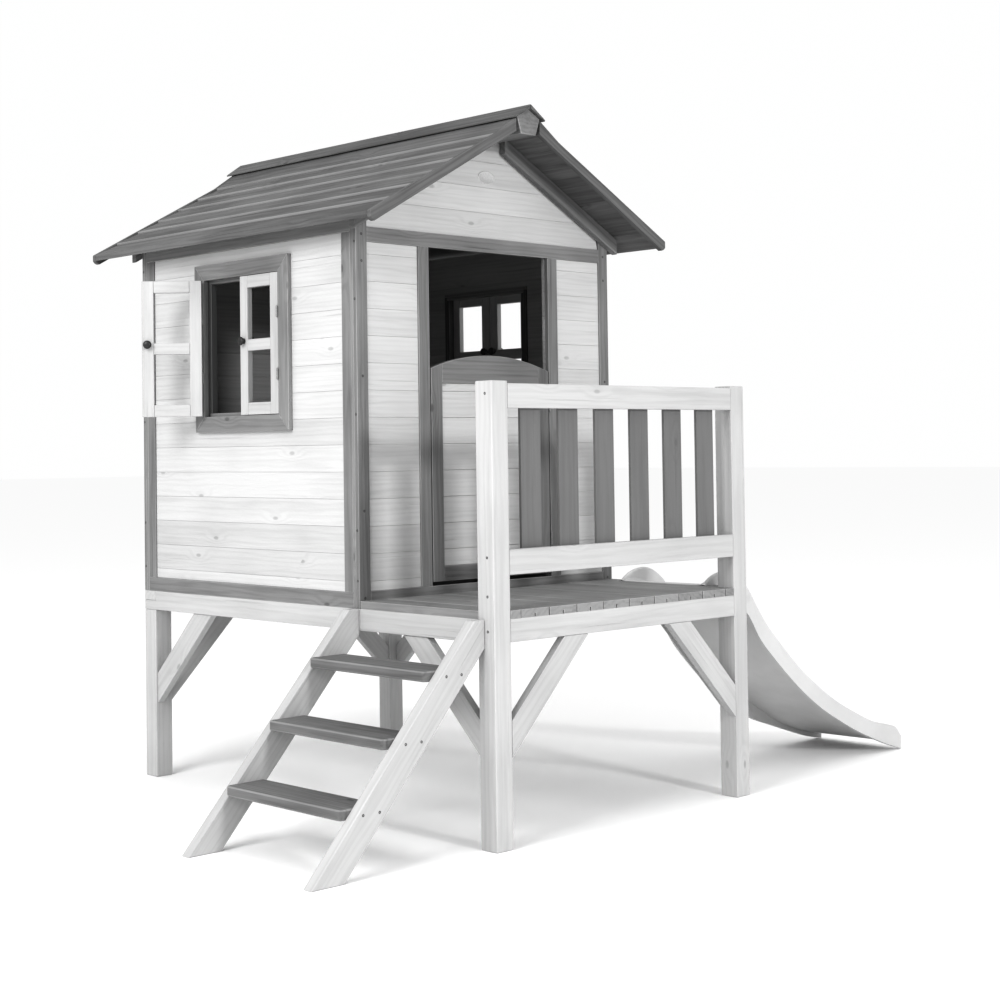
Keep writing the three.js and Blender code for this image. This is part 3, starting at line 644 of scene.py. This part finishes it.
def make_window_frame(wall, side):
    """Mitred casing outside, square lining in the hole and a stop for the shutters."""
    node = f"window_frame_{wall}"
    low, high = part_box(node)
    face = HALF - RECESS
    trim = Lumber("trim")

    def ring(inset, width, near, far, mitred):
        y0, y1, z0, z1 = low.y + inset, high.y - inset, low.z + inset, high.z - inset
        cut = width if mitred else 0.0
        depth = sorted((HOUSE_X + side * near, HOUSE_X + side * far))
        for z, inward in ((z0, width), (z1, -width)):
            outline = [(y0, z), (y1, z), (y1 - cut, z + inward), (y0 + cut, z + inward)]
            trim.prism(outline, "x", *depth, "y")
        a, b = (z0, z1) if mitred else (z0 + width, z1 - width)
        for y, inward in ((y0, width), (y1, -width)):
            outline = [(y, a + MITRE_GAP), (y + inward, z0 + width + MITRE_GAP),
                       (y + inward, z1 - width - MITRE_GAP), (y, b - MITRE_GAP)]
            # painted shade on the upright sides of the lining and stop
            trim.prism(outline, "x", *depth, "z", 0.0 if mitred else LINING_SHADE_TONE)

    inner_face = HALF - WALL - LINING_REACH
    ring(0.0, CASING, face + CASING_PROUD, face, True)
    ring(CASING - LINING, LINING, face, inner_face, False)
    ring(CASING, STOP, face + CASING_PROUD - LEAF_THICK - 0.002, inner_face, False)
    trim.finish(f"{node}_trim", "house", [node], STAINS, 0.0012)


# ---- shutters and half door ----------------------------------------------------------------
def joint_of(child):
    return next(j for j in frame["joints"] if j["child"] == child)


def turn_about(pivot, degrees):
    """A turn about the upright line through the pivot."""
    turn = Matrix.Rotation(math.radians(degrees), 4, "Z")
    return Matrix.Translation(pivot) @ turn @ Matrix.Translation(-pivot)


def open_angle(wall, place):
    """The turn, in degrees about +Z, from closed to how the shutter stands at rest."""
    return -SHUTTER_OPEN if (wall, place) == ("left", "rear") else 0


def make_shutter(wall, place):
    """A leaf of two stiles and three rails round two open panes, with its knobs and hinges."""
    node = f"shutter_{wall}_{place}"
    body = f"{wall}_{place}_shutter"
    pivot = Vector(joint_of(body)["pos_m"])
    side = -1 if wall == "left" else 1
    reach = -1 if place == "rear" else 1  # the leaf reaches this way in y from its hinge
    low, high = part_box(node)
    closed_low, closed_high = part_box("shutter_left_front")
    width = closed_high.y - closed_low.y
    near, far = pivot.y + reach * PIVOT_GAP, pivot.y + reach * (PIVOT_GAP + width)
    x0, x1 = sorted((pivot.x - side * PIVOT_PROUD, pivot.x - side * (PIVOT_PROUD + LEAF_THICK)))
    middle = (low.z + high.z) / 2

    leaf = Lumber("leaf")
    for a, b in ((near, near + reach * LEAF_STILE), (far - reach * LEAF_STILE, far)):
        leaf.prism(rectangle(*sorted((a, b)), low.z, high.z), "x", x0, x1, "z")
    inner = sorted((near + reach * (LEAF_STILE + JOINT), far - reach * (LEAF_STILE + JOINT)))
    half_rail = LEAF_MID_RAIL / 2
    bottom_rail = (low.z, low.z + LEAF_STILE)
    middle_rail = (middle - half_rail, middle + half_rail)
    top_rail = (high.z - LEAF_STILE, high.z)
    for a, b in (bottom_rail, middle_rail, top_rail):
        leaf.prism(rectangle(*inner, a, b), "x", x0 + JOINT, x1 - JOINT, "y")
    angle = open_angle(wall, place)
    bmesh.ops.transform(leaf.mesh, matrix=turn_about(pivot, angle), verts=leaf.mesh.verts)
    leaf.finish(f"{node}_leaf", body, [node], WHITES, 0.0016, "white_wood")
    knob = Vector((
        pivot.x - side * (PIVOT_PROUD + LEAF_THICK / 2), far - reach * LEAF_STILE / 2, middle + KNOB_RISE))
    make_knob(f"knob_{wall}_{place}", body, knob, turn_about(pivot, angle))
    for height in (0.085, -0.085):
        make_hinge(f"{node}_hinge", body, pivot, height, 0.030, 0.0028, angle)


def lathe(mesh, profile, segments, matrix):
    """A turned solid about the z axis, from (radius, height) pairs, placed by a matrix."""
    rings = []
    for radius, height in profile:
        if radius == 0:
            rings.append([mesh.verts.new(matrix @ Vector((0, 0, height)))])
            continue
        ring = []
        for i in range(segments):
            angle = 2 * math.pi * i / segments
            place = Vector((radius * math.cos(angle), radius * math.sin(angle), height))
            ring.append(mesh.verts.new(matrix @ place))
        rings.append(ring)
    for low, high in zip(rings, rings[1:]):
        for i in range(segments):
            j = (i + 1) % segments
            corners = [low[i % len(low)], low[j % len(low)], high[j % len(high)], high[i % len(high)]]
            mesh.faces.new(list(dict.fromkeys(corners)))


KNOB_PROFILE = (  # radius, and height above the leaf's face
    (0.0, -0.0020), (0.0075, -0.0020), (0.0078, 0.0012), (0.0068, 0.0022), (0.0050, 0.0034),
    (0.0048, 0.0050), (0.0062, 0.0064), (0.0096, 0.0076), (0.0114, 0.0092), (0.0119, 0.0110),
    (0.0115, 0.0130), (0.0102, 0.0148), (0.0076, 0.0161), (0.0040, 0.0168), (0.0, 0.0169),
)


def make_knob(node, body, centre, turn):
    """Two turned knobs, one on each face of the stile."""
    mesh = bmesh.new()
    profile = [(radius, LEAF_THICK / 2 + height) for radius, height in KNOB_PROFILE]
    for direction in (-1, 1):
        aim = Matrix.Rotation(direction * math.pi / 2, 4, "Y")
        lathe(mesh, profile, 28, turn @ Matrix.Translation(centre) @ aim)
    bmesh.ops.recalc_face_normals(mesh, faces=mesh.faces)
    piece_from(mesh, f"{node}_turned", body, [node], [KNOB])


def make_hinge(name, body, pivot, height, length, radius, angle):
    """A small butt hinge: knuckles in three lengths on the axis, with a pin through them."""
    moving, fixed = bmesh.new(), bmesh.new()
    axis = Vector((pivot.x, pivot.y, pivot.z + height))
    third = length / 3
    gap, ease = 0.0004, 0.0005
    for i in range(3):
        low = -length / 2 + i * third + gap
        high = low + third - 2 * gap
        profile = [(0.0, low), (radius * 0.8, low), (radius, low + ease), (radius, high - ease),
                   (radius * 0.8, high), (0.0, high)]
        lathe(moving if i == 1 else fixed, profile, 14, Matrix.Translation(axis))
    for end in (-1, 1):
        tip = end * length / 2
        profile = [(0.0, tip), (radius * 0.55, tip), (radius * 0.5, tip + end * 0.0012),
                   (0.0, tip + end * 0.0018)]
        lathe(fixed, profile, 12, Matrix.Translation(axis))
    bmesh.ops.transform(moving, matrix=turn_about(axis, angle), verts=moving.verts)
    level = "upper" if height > 0 else "lower"
    for mesh, label, rider in ((moving, "moving", body), (fixed, "fixed", "house")):
        bmesh.ops.recalc_face_normals(mesh, faces=mesh.faces)
        piece = piece_from(mesh, f"{name}_{level}_{label}", rider, [], [HINGE])
        ease_edges(piece, 0.0004, 2, 35)


def make_half_door():
    """Stiles, a bottom rail and an arched top rail round white boards."""
    low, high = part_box("door_frame")
    half = (high.x - low.x) / 2
    rise = high.z - DOOR_SHOULDER
    radius = (half ** 2 + rise ** 2) / (2 * rise)
    inner = half - DOOR_STILE - JOINT

    def arch(offset):
        return (HOUSE_X + offset, high.z - radius + math.sqrt(radius ** 2 - offset ** 2))

    members = Lumber("door_frame")
    for side in (-1, 1):
        top = [arch(side * (half - DOOR_STILE * i / 4)) for i in range(5)]
        foot = [(HOUSE_X + side * (half - DOOR_STILE), low.z), (HOUSE_X + side * half, low.z)]
        members.prism(top + foot, "y", low.y, high.y, "z")
    arc = [arch(inner - 2 * inner * i / 16) for i in range(17)]
    rail = [(HOUSE_X - inner, DOOR_RAIL_BOTTOM), (HOUSE_X + inner, DOOR_RAIL_BOTTOM)] + arc
    members.prism(rail, "y", low.y + JOINT, high.y - JOINT, "x")
    outline = rectangle(HOUSE_X - inner, HOUSE_X + inner, low.z, low.z + DOOR_STILE)
    members.prism(outline, "y", low.y + JOINT, high.y - JOINT, "x")
    members.finish("half_door_frame", "half_door", ["door_frame"], STAINS, 0.0016)

    boards = Lumber("door_boards")
    inset = 0.003
    for z0, z1 in levels(low.z + DOOR_STILE, DOOR_RAIL_BOTTOM):
        outline = rectangle(HOUSE_X - inner + FIT, HOUSE_X + inner - FIT, z0 + JOINT, z1 - JOINT)
        boards.prism(outline, "y", low.y + inset, high.y - inset, "x")
    boards.finish("half_door_boards", "half_door", ["door_boards"], WHITES, 0.0014, "white_wood")
    pivot = Vector(joint_of("half_door")["pos_m"])
    for height in (0.19, -0.19):
        make_hinge("half_door_hinge", "half_door", pivot, height, 0.036, 0.003, 0)


# ---- roof ----------------------------------------------------------------------------------
def make_roof_slope(name, side):
    """Lapped boards from ridge to eave, with rakes on their ends and rafters below them."""
    low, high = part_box(f"roof_{name}")
    eave = max(abs(low.x - HOUSE_X), abs(high.x - HOUSE_X))
    start = RIDGE_HALF + CLEARANCE
    run = (eave - start) / ROOF_BOARDS
    downhill = Vector((side, 0, -ROOF_PITCH))
    roof, timbers = Lumber("roof"), Lumber("roof_timbers")

    def sloped(points):
        return [(HOUSE_X + side * x, z) for x, z in points]

    for i in range(ROOF_BOARDS):
        a, b = start + i * run, start + (i + 1) * run
        upper = roof_top(a) - ROOF_LAP if i else roof_top(a) + RIDGE_LIFT
        outline = [(a + ROOF_LAP_GAP, upper), (b - LAP_HIGHLIGHT_WIDTH, roof_top(b - LAP_HIGHLIGHT_WIDTH)), (b, roof_top(b)),
                   (b, roof_top(b) - ROOF_LAP), (b, roof_under(b)), (a + ROOF_LAP_GAP, roof_under(a))]
        # painted highlight on the lower edge of each lap but the last, where the light from the left
        # catches it
        highlit = (2, 3) if i < ROOF_BOARDS - 1 else ()
        roof.prism(sloped(outline), "y", low.y + RAKE_THICK, high.y - RAKE_THICK, "y", highlit=highlit)

    foot = roof_under(eave) - BARGE_DROP
    nose = [(eave - back, foot + lift) for back, lift in RAKE_NOSE]
    rake = [(start, roof_top(start) + RIDGE_LIFT), (start + run, roof_top(start + run)),
            (eave, roof_top(eave)), (eave, roof_under(eave)), *nose,
            (start, roof_under(start) - BARGE_DROP)]
    for y in (low.y, high.y - RAKE_THICK):
        timbers.prism(sloped(rake), "y", y, y + RAKE_THICK, downhill, RAKE_TONE)

    def rafter(y, to, drop, tone=0.0):
        outline = [(start, roof_under(start) - FIT), (to, roof_under(to) - FIT),
                   (to, roof_under(to) - drop), (start, roof_under(start) - drop)]
        timbers.prism(sloped(outline), "y", y, y + BATTEN, downhill, tone)

    middle = (FRONT_Y + BACK_Y) / 2
    for y in (FRONT_Y + WALL + FIT, middle - BATTEN / 2, BACK_Y - WALL - BATTEN - FIT):
        rafter(y, HALF - WALL - INNER_RAFTER_GAP, RAFTER_DROP / 2)
    # the outer rafters are painted lighter, standing in for the light on their faces
    for y in (FRONT_Y - BATTEN - FIT, BACK_Y + FIT):
        rafter(y, eave - RAFTER_STOP, RAFTER_DROP, OUTER_RAFTER_LIGHT_TONE)
    roof.finish(f"roof_{name}_boards", "house", [f"roof_{name}"], (STAIN,), 0.0012)
    timbers.finish(f"roof_{name}_battens", "house", [], (STAIN,), 0.0016)


def make_ridge():
    """The five-sided ridge beam, a little shorter than the two boards that cap it."""
    low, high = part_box("ridge_cap")
    beam = Lumber("ridge_beam")
    beam.copy_of("ridge_beam", "y")
    middle = (low.y + high.y) / 2
    for vertex in beam.mesh.verts:
        vertex.co.y -= math.copysign(CAP_OVERHANG, vertex.co.y - middle)
    beam.finish("ridge_beam_timber", "house", ["ridge_beam"], STAINS, 0.002)

    cap = Lumber("ridge_cap")
    edge = high.z - ROOF_PITCH * CAP_HALF
    for side in (-1, 1):
        joint, outer = HOUSE_X + side * CAP_JOINT, HOUSE_X + side * CAP_HALF
        outline = [(joint, high.z), (outer, edge - CAP_TAPER), (outer, edge - CAP_STACK),
                   (joint, high.z - CAP_STACK)]
        cap.prism(outline, "y", low.y, high.y, "y")
    cap.finish("ridge_cap_boards", "house", ["ridge_cap"], (STAIN,), 0.0022)


# ---- slide ---------------------------------------------------------------------------------
def spline(points, t):
    """A point at t from 0 to 1 on a smooth curve through the points."""
    last = len(points) - 1
    i = min(int(t * last), last - 1)
    s = t * last - i
    p = [points[max(0, min(last, k))] for k in (i - 1, i, i + 1, i + 2)]
    out = []
    for k in (0, 1):
        a, b, c, d = (q[k] for q in p)
        v0, v1 = (c - a) / 2, (d - b) / 2
        out.append(b + v0 * s + (3 * (c - b) - 2 * v0 - v1) * s ** 2 + (2 * (b - c) + v0 + v1) * s ** 3)
    return out


# Rim, lower edges of the two side walls and bed, each as (x from the middle of the house, z).
# They run from the deck to the ground.
RIM = [(0.437, 0.572), (0.467, 0.591), (0.502, 0.602), (0.543, 0.604), (0.583, 0.591), (0.630, 0.555),
       (0.683, 0.485), (0.738, 0.423), (0.869, 0.308), (0.966, 0.241), (1.066, 0.183), (1.169, 0.136),
       (1.253, 0.103), (1.329, 0.085), (1.375, 0.072), (1.401, 0.046)]
NEAR_FOOT = [(0.4895, 0.546), (0.520, 0.540), (0.560, 0.529), (0.633, 0.474), (0.690, 0.398),
             (0.777, 0.319), (0.867, 0.247), (0.964, 0.182), (1.064, 0.129), (1.167, 0.082), (1.272, 0.042),
             (1.340, 0.019), (1.400, 0.001)]
FAR_FOOT = [(0.4895, 0.531), (0.520, 0.520), (0.555, 0.506), (0.617, 0.443), (0.672, 0.369), (0.757, 0.289),
            (0.846, 0.217), (0.940, 0.152), (1.037, 0.105), (1.139, 0.072), (1.243, 0.040), (1.330, 0.015),
            (1.400, 0.001)]
BED = [(0.437, 0.575), (0.510, 0.575), (0.556, 0.560), (0.600, 0.524), (0.640, 0.480), (0.697, 0.401),
       (0.784, 0.321), (0.873, 0.249), (0.969, 0.186), (1.067, 0.134), (1.169, 0.088), (1.272, 0.050),
       (1.340, 0.034), (1.394, 0.027)]


def make_slide():
    """A moulded shell: at each station an outline runs up one wall, over its rim, across and back."""
    low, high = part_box("slide")
    mesh = bmesh.new()
    stations = 110
    rings = []
    for i in range(stations + 1):
        rim, near, far, bed = (spline(line, i / stations) for line in (RIM, NEAR_FOOT, FAR_FOOT, BED))
        section = slide_section(rim, near, bed, low.y, 1) + slide_section(rim, far, bed, high.y, -1)[::-1]
        rings.append([mesh.verts.new(place) for place in section])
    count = len(rings[0])
    for a, b in zip(rings, rings[1:]):
        for i in range(count):
            j = (i + 1) % count
            mesh.faces.new((a[i], a[j], b[j], b[i]))
    mesh.faces.new(list(reversed(rings[0])))
    mesh.faces.new(rings[-1])
    bmesh.ops.recalc_face_normals(mesh, faces=mesh.faces)
    piece = piece_from(mesh, "slide_moulding", "house", ["slide"], [PLASTIC])
    ease_edges(piece, 0.0015, 2, 35)


def between(a, b, s):
    return [a[0] + (b[0] - a[0]) * s, a[1] + (b[1] - a[1]) * s]


def slide_section(rim, foot, bed, edge, inward):
    """Half a cross-section: from under the bed out to the wall's foot, up, over the rim and in."""
    def at(across, lift):
        x, z = between(foot, rim, lift)
        return (HOUSE_X + x, edge + inward * across, z)

    height = math.dist(rim, foot)
    radius = min(SLIDE_WALL / 2, height * 0.4)
    bed_lift = min(0.9, math.dist(bed, foot) / height)
    section = [at(SLIDE_WALL, max(0.0, bed_lift - SLIDE_SKIN / height)), at(SLIDE_WALL, 0.0), at(0.0, 0.0)]
    rim_steps, fillet_steps = 8, 4
    for k in range(rim_steps + 1):
        angle = math.pi * k / rim_steps
        lift = 1 - (radius - radius * math.sin(angle)) / height
        section.append(at(SLIDE_WALL / 2 * (1 - math.cos(angle)), lift))
    for k in range(fillet_steps + 1):
        angle = math.pi / 2 * k / fillet_steps
        lift = min(0.95, bed_lift + SLIDE_FILLET * (1 - math.sin(angle)) / height)
        section.append(at(SLIDE_WALL + SLIDE_FILLET * (1 - math.cos(angle)), lift))
    return section


# ---- screws and plaque ---------------------------------------------------------------------
SCREW_PROFILE = ((0.0034, -0.0006), (0.0034, 0.0002), (0.0030, 0.0005), (0.0015, 0.0005), (0.0011, -0.0010),
                 (0.0, -0.0013))
POST_SCREWS = (1.089, 0.697, 0.604, 0.521)  # heights of the screws into the posts, and so on
SIDE_SCREWS = (0.62, 0.75, 1.05, 1.35, 1.50)
GABLE_SCREWS = (0.575, 0.80, 1.15, 1.45, 1.52)
TREAD_SCREWS = (0.36, 0.78)  # places along a tread's depth, as fractions


def make_screws():
    """Countersunk screws at the joints of the timbers."""
    mesh = bmesh.new()

    def screw(x, y, z, axis, outward):
        quarter = outward * math.pi / 2
        aim = Matrix.Rotation(quarter, 4, "Y") if axis == "x" else Matrix.Rotation(-quarter, 4, "X")
        lathe(mesh, SCREW_PROFILE, 12, Matrix.Translation((x, y, z)) @ aim)

    post_low, post_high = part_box("post_front_left")
    post_y = (post_low.y + post_high.y) / 2 - 0.006
    edge_inset = 0.007
    for side in (-1, 1):
        x = HOUSE_X + side * HALF
        for z in POST_SCREWS:
            screw(x, post_y, z, "x", side)
        for z in SIDE_SCREWS:
            screw(x, FRONT_Y + edge_inset, z, "x", side)
            screw(x, BACK_Y - edge_inset, z, "x", side)
    for side in (-1, 1):
        x = HOUSE_X + side * (HALF - STILE / 2)
        for z in GABLE_SCREWS:
            screw(x, FRONT_Y, z, "y", -1)
            screw(x, BACK_Y, z, "y", 1)
    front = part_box("ladder_stringer_front")[0].y
    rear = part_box("ladder_stringer_rear")[1].y
    for i in (1, 2, 3):
        low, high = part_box(f"ladder_tread_{i}")
        middle = (low.z + high.z) / 2
        for fraction in TREAD_SCREWS:
            x = low.x + (high.x - low.x) * fraction
            screw(x, front, middle, "y", -1)
            screw(x, rear, middle, "y", 1)
    bmesh.ops.recalc_face_normals(mesh, faces=mesh.faces)
    piece_from(mesh, "screw_heads", "house", [], [STEEL])


def make_plaque():
    """A plain oval plate on the gable, with a raised border and nothing written on it."""
    mesh = bmesh.new()
    profile = [(0.0, 0.0006), (0.82, 0.0006), (0.86, 0.0014), (0.96, 0.0014), (1.0, 0.0007), (1.0, -0.0030)]
    centre = Vector((HOUSE_X - 0.006, FRONT_Y + RECESS, 1.7105))
    oval = Matrix.Diagonal((0.033, 0.0185, 1.0, 1.0))
    lathe(mesh, profile, 48, Matrix.Translation(centre) @ Matrix.Rotation(math.pi / 2, 4, "X") @ oval)
    bmesh.ops.recalc_face_normals(mesh, faces=mesh.faces)
    piece_from(mesh, "gable_plaque", "house", [], [PLAQUE])


# ---- floor, lights and camera --------------------------------------------------------------
def make_stage():
    mesh = bmesh.new()
    corners = rectangle(-FLOOR_HALF, FLOOR_HALF, -FLOOR_HALF, FLOOR_HALF)
    mesh.faces.new([mesh.verts.new((x, y, 0.0)) for x, y in corners])
    data = bpy.data.meshes.new("studio_floor")
    mesh.to_mesh(data)
    mesh.free()
    n = Nodes("studio_floor")
    n.shader.inputs["Base Color"].default_value = grey(0.97)
    n.shader.inputs["Roughness"].default_value = 0.9
    n.shader.inputs["Specular IOR Level"].default_value = 0.0
    data.materials.append(n.material)
    floor = bpy.data.objects.new("studio_floor", data)
    scene.collection.objects.link(floor)


def soft_light(name, azimuth, elevation, distance, size, power):
    """A square light that shines at the house from an azimuth, counted from -Y towards -X."""
    a, e = math.radians(azimuth), math.radians(elevation)
    away = Vector((-math.sin(a) * math.cos(e), -math.cos(a) * math.cos(e), math.sin(e)))
    target = Vector((HOUSE_X, FRONT_Y, LIGHT_HEIGHT))
    data = bpy.data.lights.new(name, "AREA")
    data.size = size
    data.energy = power
    lamp = bpy.data.objects.new(name, data)
    lamp.location = target + away * distance
    lamp.rotation_mode = "QUATERNION"
    lamp.rotation_quaternion = away.to_track_quat("Z", "Y")
    scene.collection.objects.link(lamp)


def make_lights():
    world = bpy.data.worlds.new("studio")
    world.use_nodes = True
    background = world.node_tree.nodes["Background"]
    background.inputs["Color"].default_value = grey(1.0)
    background.inputs["Strength"].default_value = WORLD_STRENGTH
    scene.world = world
    for light in LIGHTS:
        soft_light(*light)


def set_tone_curve():
    scene.view_settings.view_transform = "Standard"
    scene.view_settings.exposure = EXPOSURE
    scene.view_settings.gamma = GAMMA


def make_camera():
    data = bpy.data.cameras.new("camera")
    data.sensor_width = SENSOR
    data.lens = LENS
    data.shift_x, data.shift_y = CAMERA_SHIFT
    data.clip_end = 200.0
    camera = bpy.data.objects.new("camera", data)
    heading, tilt, roll = (math.radians(angle) for angle in (CAMERA_HEADING, CAMERA_TILT, CAMERA_ROLL))
    ahead = Vector((math.sin(heading), math.cos(heading), 0)) * math.cos(tilt)
    forward = ahead - AXES["z"] * math.sin(tilt)
    level = forward.cross(AXES["z"]).normalized()
    upright = level.cross(forward)
    right = level * math.cos(roll) + upright * math.sin(roll)
    up = upright * math.cos(roll) - level * math.sin(roll)
    turn = Matrix((right, up, -forward)).transposed().to_4x4()
    place = Vector((HOUSE_X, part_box("post_front_left")[0].y, 0)) + Vector(CAMERA_PLACE)
    camera.matrix_world = Matrix.Translation(place) @ turn
    scene.collection.objects.link(camera)
    scene.camera = camera


# ---- everything ----------------------------------------------------------------------------
make_camera()
make_stage()
make_lights()
set_tone_curve()
make_leg_frame()
make_ladder()
make_railing()
make_deck()
make_house_floor()
for wall_name, at_front in (("wall_front", True), ("wall_back", False)):
    gable_trim(wall_name, at_front)
    gable_cladding(wall_name, at_front)
    gable_inside(wall_name, at_front)
make_side_wall("left", -1)
make_side_wall("right", 1)
make_window_frame("left", -1)
make_window_frame("right", 1)
for wall_name in ("left", "right"):
    for place_name in ("rear", "front"):
        make_shutter(wall_name, place_name)
make_half_door()
make_roof_slope("left", -1)
make_roof_slope("right", 1)
make_ridge()
make_slide()
make_screws()
make_plaque()
